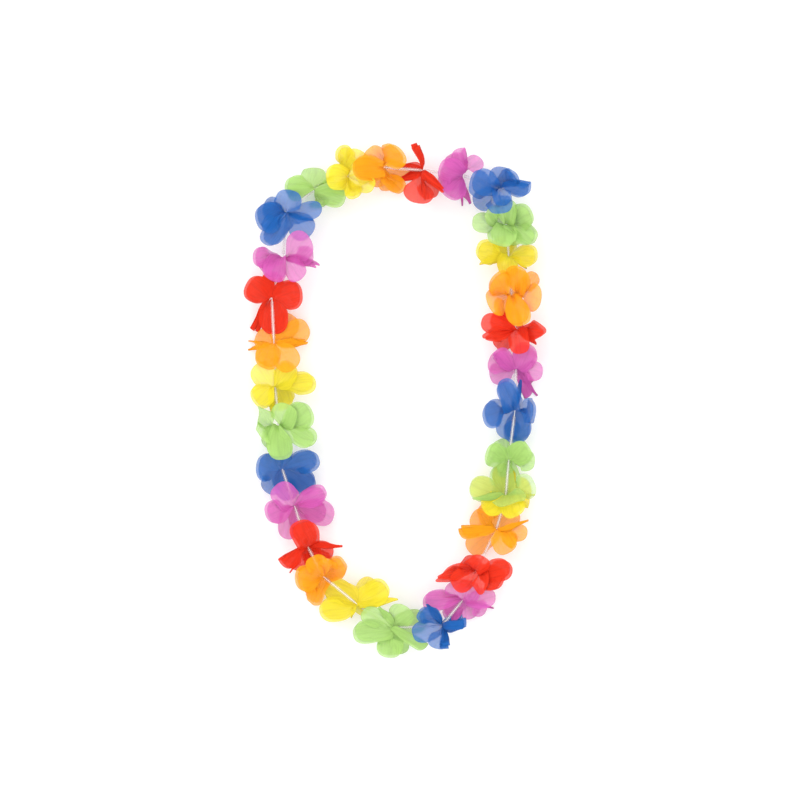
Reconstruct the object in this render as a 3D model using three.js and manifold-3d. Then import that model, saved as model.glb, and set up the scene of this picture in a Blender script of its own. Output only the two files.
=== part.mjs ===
// A flower lei lying flat: thirty sheer cloth blooms in a repeating rainbow order, threaded through
// their middles on one cord that is knotted into a loop, with a length of clear drinking straw
// between every two blooms.
//
// Millimetres, +Z up, +Y along the loop's longer way. The lei rests on z = 0, on the petals of its
// lowest blooms, and its outline is centred over the origin.

import * as THREE from 'three';
import { mergeVertices } from 'three/addons/utils/BufferGeometryUtils.js';
import Module from 'manifold-3d';

const wasm = await Module();
wasm.setup();

// ---------------------------------------------------------------- driving dimensions

const CORD_HEIGHT = 21.9; // the cord's axis above the table
const CORD_RADIUS = 0.45;
const CORD_SIDES = 6;
const KNOT_RADIUS = 1.5;
const KNOT_AFTER = 14; // the knot lies between this bloom and the next one
const TAIL_LENGTH = 9; // each cut end of the cord beyond the knot
const TAIL_SPREAD = 0.6; // radians between a tail and the cord's own direction

const STRAW_OUTER_RADIUS = 1.7;
const STRAW_INNER_RADIUS = 1.1;
const STRAW_LENGTH = 37; // the longest piece; closer blooms have shorter ones
const STRAW_SIDES = 6;

// The gathered middle of a bloom: a plate square to the cord, from its lowest petal to its highest,
// widest where the cord passes through it.
const NECK_THICKNESS = 1.2;
const NECK_HALF_WIDTH = 3;
const NECK_END_HALF_WIDTH = 1.4;
const NECK_WAIST = 2; // the widest stretch ends this far above and below the cord
const NECK_HOLE_RADIUS = 0.9;
const NECK_HOLE_SIDES = 6;
const CORD_TURN = 0.5; // the cord turns within this distance of a bloom's middle

const GAP = 0.3; // between pieces that touch on the real lei

const BLADE_THICKNESS = 0.6;
const ROOT_WIDTH = 2;
const TIP_CURL = 5; // the rise of the tips above the cord
const FREE_TIP_CURL = 8; // the same, where nothing lies on them

// A petal's outline: the share of its reach, of the width that is seen, and of its tip's curl.
const OPEN_OUTLINE = [
  [0.38, 0.74, 0],
  [0.72, 1, 0.25],
  [0.92, 0.78, 0.7],
  [1, 0.35, 1],
];
const FOLDED_OUTLINE = [
  [0.6, 1, 0.2],
  [1, 0.45, 1],
];
const FOLDED_WIDTH = 12; // a petal that shows less than this is folded along its middle

// Blooms that overlap lie at different levels, 0 the lowest, so that their petals pass clear.
const TOP_LEVEL = 3;
const FIRST_LIFT = 4.5; // the lowest over-petal above the cord's axis
const LEVEL_LIFT = 4.5;
const LAYER_LIFT = 0.9; // between petals of one bloom
const LAYER_RANGE = 3.6; // the same, for all the petals on one side of the cord

const CENTRE = [-0.2, 0.2]; // the middle of the outline, in the frame of the lists below

// ---------------------------------------------------------------- the blooms

// Each bloom: its hub, its level and its petals above and below the cord, nearest the eye first.
// A petal is its tip's place and the width that is seen from above, narrow where it is folded.

const BLOOMS = [
  {
    colour: 'blue',
    hub: [-107, 184],
    level: 1,
    over: [[-137, 173, 20], [-130, 152, 22], [-92, 156, 28], [-73, 190, 17]],
    under: [[-131, 190, 20], [-124, 161, 20], [-101, 204, 26], [-81, 177, 5]],
  },
  {
    colour: 'purple',
    hub: [-110, 140],
    level: 2,
    over: [[-122, 116, 24], [-91, 118, 19], [-94, 163, 28], [-139, 143, 12]],
    under: [[-136, 130, 10], [-74, 131, 8], [-82, 144, 12], [-106, 166, 16]],
  },
  {
    colour: 'red',
    hub: [-121, 101],
    level: 1,
    over: [[-146, 110, 27], [-91, 106, 28], [-119, 65, 26]],
    under: [[-122, 127, 16], [-141, 70, 6], [-135, 68, 5]],
  },
  {
    colour: 'orange',
    hub: [-119, 56],
    level: 0,
    over: [[-90, 77, 26], [-96, 33, 24], [-136, 66, 16], [-127, 32, 20]],
    under: [[-92, 70, 6], [-86, 58, 6], [-137, 36, 16], [-145, 59, 4], [-146, 51, 6]],
  },
  {
    colour: 'yellow',
    hub: [-118, 14],
    level: 1,
    over: [[-138, 36, 20], [-81, 16, 20], [-137, -4, 20], [-101, 34, 12]],
    under: [[-123, 38, 22], [-106, -7, 20], [-120, -16, 8]],
  },
  {
    colour: 'green',
    hub: [-114, -24],
    level: 2,
    over: [[-82, -8, 28], [-111, -58, 26], [-110, 0, 16]],
    under: [[-133, -7, 8], [-79, -40, 18], [-133, -32, 20], [-98, -52, 18]],
  },
  {
    colour: 'blue',
    hub: [-111, -66],
    level: 0,
    over: [[-137, -62, 26], [-84, -87, 24], [-126, -89, 18]],
    under: [[-76, -53, 20], [-109, -38, 18], [-106, -96, 14]],
  },
  {
    colour: 'purple',
    hub: [-99, -102],
    level: 1,
    over: [[-67, -88, 16], [-128, -110, 22], [-63, -113, 22], [-110, -134, 18]],
    under: [[-117, -81, 24], [-69, -112, 20], [-70, -101, 8], [-95, -128, 14]],
  },
  {
    colour: 'red',
    hub: [-86, -142],
    level: 2,
    over: [[-95, -116, 26], [-112, -153, 20], [-107, -164, 8], [-52, -141, 5]],
    under: [[-61, -148, 14], [-98, -166, 10], [-104, -168, 4], [-78, -164, 16]],
  },
  {
    colour: 'orange',
    hub: [-71, -171],
    level: 3,
    over: [[-48, -157, 22], [-98, -171, 22], [-86, -152, 20]],
    under: [[-67, -148, 18], [-83, -198, 18], [-92, -186, 12], [-76, -192, 10]],
  },
  {
    colour: 'yellow',
    hub: [-38, -198],
    level: 1,
    over: [[-69, -179, 24], [-8, -179, 24], [1, -192, 5]],
    under: [[-74, -205, 22], [-44, -213, 5], [-22, -174, 22], [-28, -207, 14]],
  },
  {
    colour: 'green',
    hub: [-4, -221],
    level: 0,
    over: [[19, -204, 22], [-42, -226, 20], [29, -241, 9], [-4, -250, 26]],
    under: [[-34, -206, 12], [-17, -200, 6], [11, -247, 18], [-18, -246, 18]],
  },
  {
    colour: 'blue',
    hub: [45, -219],
    level: 2,
    over: [[21, -203, 16], [69, -217, 8], [49, -241, 8], [30, -197, 12]],
    under: [[17, -227, 20], [31, -238, 16], [42, -240, 14], [66, -211, 14]],
  },
  {
    colour: 'purple',
    hub: [65, -194],
    level: 0,
    over: [[28, -193, 18], [56, -181, 22], [96, -190, 14], [88, -206, 18]],
    under: [[45, -212, 14], [95, -203, 5], [76, -211, 16], [72, -181, 18]],
  },
  {
    colour: 'red',
    hub: [78, -166],
    level: 2,
    over: [[112, -157, 22], [41, -172, 14], [80, -190, 16], [68, -155, 18]],
    under: [[105, -181, 20], [58, -181, 16], [76, -153, 12], [96, -151, 14]],
  },
  {
    colour: 'orange',
    hub: [98, -125],
    level: 0,
    over: [[70, -147, 24], [109, -149, 24], [128, -128, 16], [74, -111, 20]],
    under: [[61, -130, 14], [129, -116, 6], [84, -98, 20], [118, -139, 16], [112, -106, 18]],
  },
  {
    colour: 'yellow',
    hub: [107, -92],
    level: 1,
    over: [[69, -84, 22], [133, -78, 22], [114, -114, 20], [82, -104, 16], [132, -98, 14]],
    under: [[99, -63, 10], [74, -94, 6], [79, -82, 20], [107, -62, 20], [136, -92, 5]],
  },
  {
    colour: 'green',
    hub: [110, -57],
    level: 2,
    over: [[88, -48, 24], [130, -42, 22], [135, -61, 14]],
    under: [[118, -68, 16], [104, -36, 22], [120, -38, 18], [100, -64, 16]],
  },
  {
    colour: 'blue',
    hub: [116, -9],
    level: 3,
    over: [[101, 20, 24], [84, -17, 24], [135, -10, 22]],
    under: [[109, -39, 10], [121, -41, 22], [121, 21, 6], [129, -27, 10]],
  },
  {
    colour: 'purple',
    hub: [117, 31],
    level: 0,
    over: [[134, 56, 22], [91, 40, 20], [92, 24, 20], [144, 29, 14]],
    under: [[98, 50, 12], [131, 5, 9], [138, 5, 5], [134, 19, 6]],
  },
  {
    colour: 'red',
    hub: [117, 69],
    level: 2,
    over: [[83, 78, 14], [147, 67, 14], [123, 46, 20], [86, 62, 12]],
    under: [[103, 51, 14], [138, 57, 6], [139, 82, 14], [108, 90, 20]],
  },
  {
    colour: 'orange',
    hub: [113, 103],
    level: 3,
    over: [[123, 72, 22], [142, 99, 24], [96, 125, 24], [88, 95, 22]],
    under: [[87, 110, 8], [101, 85, 20], [139, 122, 12], [118, 131, 18]],
  },
  {
    colour: 'yellow',
    hub: [110, 141],
    level: 0,
    over: [[77, 149, 20], [139, 141, 17], [112, 124, 16]],
    under: [[81, 134, 6], [128, 130, 6], [104, 160, 20], [122, 128, 10]],
  },
  {
    colour: 'green',
    hub: [107, 172],
    level: 2,
    over: [[74, 172, 19], [131, 184, 24], [104, 148, 20]],
    under: [[89, 187, 7], [136, 154, 16], [102, 196, 22], [122, 154, 16]],
  },
  {
    colour: 'blue',
    hub: [100, 207],
    level: 3,
    over: [[70, 215, 22], [118, 222, 18], [103, 182, 24]],
    under: [[103, 229, 20], [132, 204, 14], [106, 191, 14], [77, 191, 18]],
  },
  {
    colour: 'purple',
    hub: [65, 220],
    level: 0,
    over: [[41, 227, 22], [84, 234, 14], [60, 246, 12]],
    under: [[47, 198, 22], [65, 191, 5], [73, 193, 8], [80, 212, 10], [52, 240, 16]],
  },
  {
    colour: 'red',
    hub: [26, 225],
    level: 3,
    over: [[18, 250, 7], [20, 193, 28], [1, 230, 9]],
    under: [[34, 197, 20], [47, 203, 8], [2, 216, 8]],
  },
  {
    colour: 'orange',
    hub: [-12, 228],
    level: 2,
    over: [[8, 243, 24], [5, 204, 14], [-5, 206, 12]],
    under: [[-42, 225, 16], [-29, 243, 10], [-30, 214, 16], [14, 222, 16]],
  },
  {
    colour: 'yellow',
    hub: [-47, 219],
    level: 1,
    over: [[-67, 218, 24], [-31, 243, 14], [-21, 206, 14]],
    under: [[-50, 249, 11], [-39, 197, 14], [-66, 232, 12], [-30, 230, 14], [-58, 200, 14]],
  },
  {
    colour: 'green',
    hub: [-80, 206],
    level: 0,
    over: [[-78, 228, 24], [-110, 207, 15], [-50, 214, 16]],
    under: [[-48, 197, 16], [-82, 190, 18], [-109, 199, 12], [-62, 228, 10]],
  },
];

// ---------------------------------------------------------------- finishes

const CLOTH_COLOURS = {
  blue: 0x4a74c4,
  purple: 0xdc64b4,
  red: 0xf03a28,
  orange: 0xffa030,
  yellow: 0xf6e23c,
  green: 0xa6e070,
};

function clothMaterial(colour) {
  return new THREE.MeshStandardMaterial({ color: CLOTH_COLOURS[colour], roughness: 0.8, metalness: 0 });
}

function strawMaterial() {
  return new THREE.MeshStandardMaterial({ color: 0xe8dedc, roughness: 0.25, metalness: 0 });
}

function cordMaterial() {
  return new THREE.MeshStandardMaterial({ color: 0xf4f1ea, roughness: 0.9, metalness: 0 });
}

// ---------------------------------------------------------------- solids

// A closed three.js geometry as a solid that can be joined to others.
function solidOf(geometry) {
  const bare = geometry.index ? geometry.toNonIndexed() : geometry.clone();
  bare.deleteAttribute('normal');
  bare.deleteAttribute('uv');
  const merged = mergeVertices(bare, 1e-4);
  return new wasm.Manifold(new wasm.Mesh({
    numProp: 3,
    vertProperties: new Float32Array(merged.attributes.position.array),
    triVerts: new Uint32Array(merged.index.array),
  }));
}

// The solid's largest body as a geometry: a scrap cut loose by a join is left out.
function geometryOf(solid) {
  const bodies = solid.decompose();
  bodies.sort((a, b) => b.volume() - a.volume());
  const mesh = bodies[0].getMesh();
  const geometry = new THREE.BufferGeometry();
  geometry.setAttribute('position', new THREE.BufferAttribute(mesh.vertProperties, 3));
  geometry.setIndex(new THREE.BufferAttribute(mesh.triVerts, 1));
  return geometry;
}

function placed(geometry, origin, axis) {
  const up = new THREE.Vector3(0, 1, 0);
  const turn = new THREE.Quaternion().setFromUnitVectors(up, axis);
  geometry.applyQuaternion(turn);
  geometry.translate(origin.x, origin.y, origin.z);
  return geometry;
}

// A straight tube round its own axis.
function tube(innerRadius, outerRadius, length, sides) {
  const half = length / 2;
  const profile = [
    new THREE.Vector2(innerRadius, -half),
    new THREE.Vector2(outerRadius, -half),
    new THREE.Vector2(outerRadius, half),
    new THREE.Vector2(innerRadius, half),
    new THREE.Vector2(innerRadius, -half),
  ];
  return new THREE.LatheGeometry(profile, sides);
}

// ---------------------------------------------------------------- places along the cord

const hubs = BLOOMS.map(({ hub }) => new THREE.Vector3(hub[0] - CENTRE[0], hub[1] - CENTRE[1], CORD_HEIGHT));

function hubAt(index) {
  return hubs[(index + hubs.length) % hubs.length];
}

// The cord's direction through a bloom, halfway between its two stretches.
function cordDirection(index) {
  const before = hubAt(index).clone().sub(hubAt(index - 1)).normalize();
  const after = hubAt(index + 1).clone().sub(hubAt(index)).normalize();
  return before.add(after).normalize();
}

// ---------------------------------------------------------------- petals

// A petal's middle line, row by row, with half its width: level out of the neck, then up by its curl.
function petalRows(index, [tipX, tipY, seenWidth], lift, curl) {
  const hub = hubAt(index);
  const outwards = new THREE.Vector3(tipX - CENTRE[0], tipY - CENTRE[1], CORD_HEIGHT).sub(hub);
  const reach = outwards.length();
  outwards.normalize();
  const row = (distance, width, height) => {
    const centre = hub.clone().addScaledVector(outwards, distance);
    centre.z += height;
    return { centre, half: width / 2 };
  };
  const outline = seenWidth > FOLDED_WIDTH ? OPEN_OUTLINE : FOLDED_OUTLINE;
  const rows = [row(0, ROOT_WIDTH, lift)];
  for (const [reachShare, widthShare, curlShare] of outline) {
    rows.push(row(reach * reachShare, seenWidth * widthShare, lift + curl * curlShare));
  }
  return { rows, across: new THREE.Vector3(outwards.y, -outwards.x, 0) };
}

// Half the blade's thickness at each row, square to the middle line and mitred where it turns.
function thicknessOffsets(rows, across) {
  const normals = rows.slice(1).map(({ centre }, k) => {
    const ahead = centre.clone().sub(rows[k].centre);
    return across.clone().cross(ahead).normalize();
  });
  return rows.map((row, k) => {
    const before = normals[Math.max(k - 1, 0)];
    const after = normals[Math.min(k, normals.length - 1)];
    const mitre = before.clone().add(after);
    return mitre.multiplyScalar(BLADE_THICKNESS / 2 / (1 + before.dot(after)));
  });
}

function petalBlade(index, petal, lift, curl) {
  const { rows, across } = petalRows(index, petal, lift, curl);
  const offsets = thicknessOffsets(rows, across);
  const steps = rows.length - 1;
  const blade = new THREE.BoxGeometry(2, steps, 2, 1, steps, 1);
  const position = blade.attributes.position;
  for (let v = 0; v < position.count; v += 1) {
    const k = Math.round(position.getY(v) + steps / 2);
    const point = rows[k].centre.clone();
    point.addScaledVector(across, rows[k].half * position.getX(v));
    point.addScaledVector(offsets[k], position.getZ(v));
    position.setXYZ(v, point.x, point.y, point.z);
  }
  return blade;
}

// How far each petal of a list lies from the cord's axis, the first one nearest the eye.
function lifts(count, level, isOver) {
  const layer = Math.min(LAYER_LIFT, LAYER_RANGE / Math.max(count - 1, 1));
  return Array.from({ length: count }, (_, k) => {
    const below = layer * (count - 1 - k);
    if (isOver) return FIRST_LIFT + LEVEL_LIFT * level + below;
    return below - FIRST_LIFT - LEVEL_LIFT * (TOP_LEVEL - level) - LAYER_RANGE;
  });
}

// The plate that gathers a bloom's petals, between two heights measured from the cord.
function neck(index, lowest, highest) {
  const outline = new THREE.Shape([
    new THREE.Vector2(-NECK_END_HALF_WIDTH, lowest),
    new THREE.Vector2(NECK_END_HALF_WIDTH, lowest),
    new THREE.Vector2(NECK_HALF_WIDTH, -NECK_WAIST),
    new THREE.Vector2(NECK_HALF_WIDTH, NECK_WAIST),
    new THREE.Vector2(NECK_END_HALF_WIDTH, highest),
    new THREE.Vector2(-NECK_END_HALF_WIDTH, highest),
    new THREE.Vector2(-NECK_HALF_WIDTH, NECK_WAIST),
    new THREE.Vector2(-NECK_HALF_WIDTH, -NECK_WAIST),
  ]);
  const hole = new THREE.Path();
  hole.absarc(0, 0, NECK_HOLE_RADIUS, 0, 2 * Math.PI, true);
  outline.holes.push(hole);
  const plate = new THREE.ExtrudeGeometry(outline, {
    depth: NECK_THICKNESS,
    curveSegments: NECK_HOLE_SIDES,
    bevelEnabled: false,
  });
  const along = cordDirection(index);
  const side = new THREE.Vector3(-along.y, along.x, 0);
  const frame = new THREE.Matrix4().makeBasis(side, new THREE.Vector3(0, 0, 1), along);
  plate.translate(0, 0, -NECK_THICKNESS / 2);
  plate.applyMatrix4(frame.setPosition(hubAt(index)));
  return plate;
}

// A bloom above both of its neighbours has nothing lying on its upper petals: their tips curl higher.
function tipCurl(index) {
  const around = [index - 1, index + 1].map((k) => BLOOMS[(k + BLOOMS.length) % BLOOMS.length].level);
  return BLOOMS[index].level > Math.max(...around) ? FREE_TIP_CURL : TIP_CURL;
}

function bloom(index) {
  const { over, under, level } = BLOOMS[index];
  const overLifts = lifts(over.length, level, true);
  const underLifts = lifts(under.length, level, false);
  const curl = tipCurl(index);
  const blades = [
    ...over.map((petal, k) => petalBlade(index, petal, overLifts[k], curl)),
    ...under.map((petal, k) => petalBlade(index, petal, underLifts[k], 0)),
  ];
  let solid = solidOf(neck(index, underLifts.at(-1), overLifts[0]));
  for (const blade of blades) solid = solid.add(solidOf(blade));
  return geometryOf(solid);
}

// ---------------------------------------------------------------- straws

// Where a straw's end stops short of a bloom: its rim meets the neck first when the cord turns there.
function strawClearance(index, along) {
  const square = Math.abs(along.dot(cordDirection(index)));
  const slant = Math.sqrt(1 - square * square);
  return (NECK_THICKNESS / 2 + GAP + STRAW_OUTER_RADIUS * slant) / square;
}

function straw(index) {
  const start = hubAt(index);
  const span = hubAt(index + 1).clone().sub(start);
  const along = span.clone().normalize();
  const first = strawClearance(index, along);
  const last = span.length() - strawClearance((index + 1) % BLOOMS.length, along);
  const length = Math.min(STRAW_LENGTH, last - first);
  const middle = start.clone().addScaledVector(along, (first + last) / 2);
  return placed(tube(STRAW_INNER_RADIUS, STRAW_OUTER_RADIUS, length, STRAW_SIDES), middle, along);
}

// ---------------------------------------------------------------- the cord

// Straight runs through the straws, with a short turn inside each hub.
class StringPath extends THREE.Curve {
  constructor(points) {
    super();
    this.points = points;
  }

  getPoint(t, target = new THREE.Vector3()) {
    const place = Math.min(Math.max(t, 0), 1) * (this.points.length - 1);
    const k = Math.min(Math.floor(place), this.points.length - 2);
    return target.copy(this.points[k]).lerp(this.points[k + 1], place - k);
  }

  getUtoTmapping(u) {
    return u;
  }
}

function cordRun(points) {
  const section = new THREE.Shape();
  section.absarc(0, 0, CORD_RADIUS, 0, 2 * Math.PI);
  const path = new StringPath(points);
  return new THREE.ExtrudeGeometry(section, {
    steps: points.length - 1,
    curveSegments: CORD_SIDES,
    bevelEnabled: false,
    extrudePath: path,
  });
}

function cord() {
  const before = hubAt(KNOT_AFTER - 1);
  const after = hubAt(KNOT_AFTER);
  const knotPlace = before.clone().add(after).multiplyScalar(0.5);
  const points = [knotPlace.clone()];
  for (let step = 0; step < hubs.length; step += 1) {
    const index = KNOT_AFTER + step;
    const hub = hubAt(index);
    const back = hubAt(index - 1).clone().sub(hub).normalize();
    const ahead = hubAt(index + 1).clone().sub(hub).normalize();
    points.push(hub.clone().addScaledVector(back, CORD_TURN));
    points.push(hub.clone().addScaledVector(ahead, CORD_TURN));
  }
  points.push(knotPlace.clone());
  let solid = solidOf(cordRun(points));
  const knot = new THREE.IcosahedronGeometry(KNOT_RADIUS, 1);
  knot.translate(knotPlace.x, knotPlace.y, knotPlace.z);
  solid = solid.add(solidOf(knot));
  const along = after.clone().sub(before).normalize();
  for (const sense of [1, -1]) {
    const tail = along.clone().multiplyScalar(sense);
    tail.applyAxisAngle(new THREE.Vector3(0, 0, 1), TAIL_SPREAD);
    const end = knotPlace.clone().addScaledVector(tail, TAIL_LENGTH);
    solid = solid.add(solidOf(cordRun([knotPlace, end])));
  }
  return geometryOf(solid);
}

// ---------------------------------------------------------------- the lei

const lei = new THREE.Group();

function piece(name, geometry, material) {
  const mesh = new THREE.Mesh(geometry, material);
  mesh.name = name;
  lei.add(mesh);
}

function numbered(index) {
  return String(index + 1).padStart(2, '0');
}

BLOOMS.forEach(({ colour }, index) => {
  piece(`bloom_${numbered(index)}_${colour}`, bloom(index), clothMaterial(colour));
});

BLOOMS.forEach((_, index) => {
  if (index + 1 !== KNOT_AFTER) piece(`straw_${numbered(index)}`, straw(index), strawMaterial());
});

piece('cord', cord(), cordMaterial());

export default lei;
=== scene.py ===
"""A flower lei lying flat: thirty sheer cloth blooms in rainbow order on one knotted thread, with a
length of clear straw between every two blooms but the two beside the knot.

Lists are in millimetres, +Y along the loop's longer way; what is made is in metres, in the frame of
the packed model.
"""

import math
import random
from collections import namedtuple

import bmesh
import bpy
from bpy.props import FloatProperty, FloatVectorProperty, IntProperty, PointerProperty
from mathutils import Matrix, Vector


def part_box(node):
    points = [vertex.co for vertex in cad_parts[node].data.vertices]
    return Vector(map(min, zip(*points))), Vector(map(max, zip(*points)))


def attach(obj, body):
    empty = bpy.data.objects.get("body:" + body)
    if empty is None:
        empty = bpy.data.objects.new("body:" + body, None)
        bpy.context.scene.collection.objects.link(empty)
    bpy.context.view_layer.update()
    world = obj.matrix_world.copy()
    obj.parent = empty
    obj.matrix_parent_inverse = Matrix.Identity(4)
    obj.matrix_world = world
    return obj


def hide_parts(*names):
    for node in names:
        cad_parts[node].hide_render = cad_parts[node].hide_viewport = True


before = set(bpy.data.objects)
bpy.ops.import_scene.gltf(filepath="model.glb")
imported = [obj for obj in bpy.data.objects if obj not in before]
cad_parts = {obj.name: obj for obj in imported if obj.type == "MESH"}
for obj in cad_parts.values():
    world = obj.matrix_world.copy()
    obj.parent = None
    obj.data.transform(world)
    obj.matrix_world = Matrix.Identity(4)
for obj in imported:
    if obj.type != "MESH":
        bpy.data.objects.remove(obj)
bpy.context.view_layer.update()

bl_info = {
    "name": "Cloth flower lei",
    "version": (1, 0, 0),
    "blender": (4, 5, 0),
    "location": "View3D > Sidebar > Lei",
    "description": "Dresses a flower lei in sheer cloth petals, clear straws and a twisted thread",
    "category": "Add Mesh",
}

MM = 0.001
UP = Vector((0, 0, 1))

# ---------------------------------------------------------------- the lei's layout

CENTRE = Vector((-0.2, 0.2))  # the middle of the outline, in the frame of the lists below

# How far a petal's sides draw together at its tip, as a share of its width.
SQUARE = 0.0
BLUNT = 0.5
TAPERED = 0.6
POINTED = 0.7
SHARP = 0.85

Bloom = namedtuple("Bloom", "colour hub level over under beneath slipped", defaults=((), (), ()))

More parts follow.
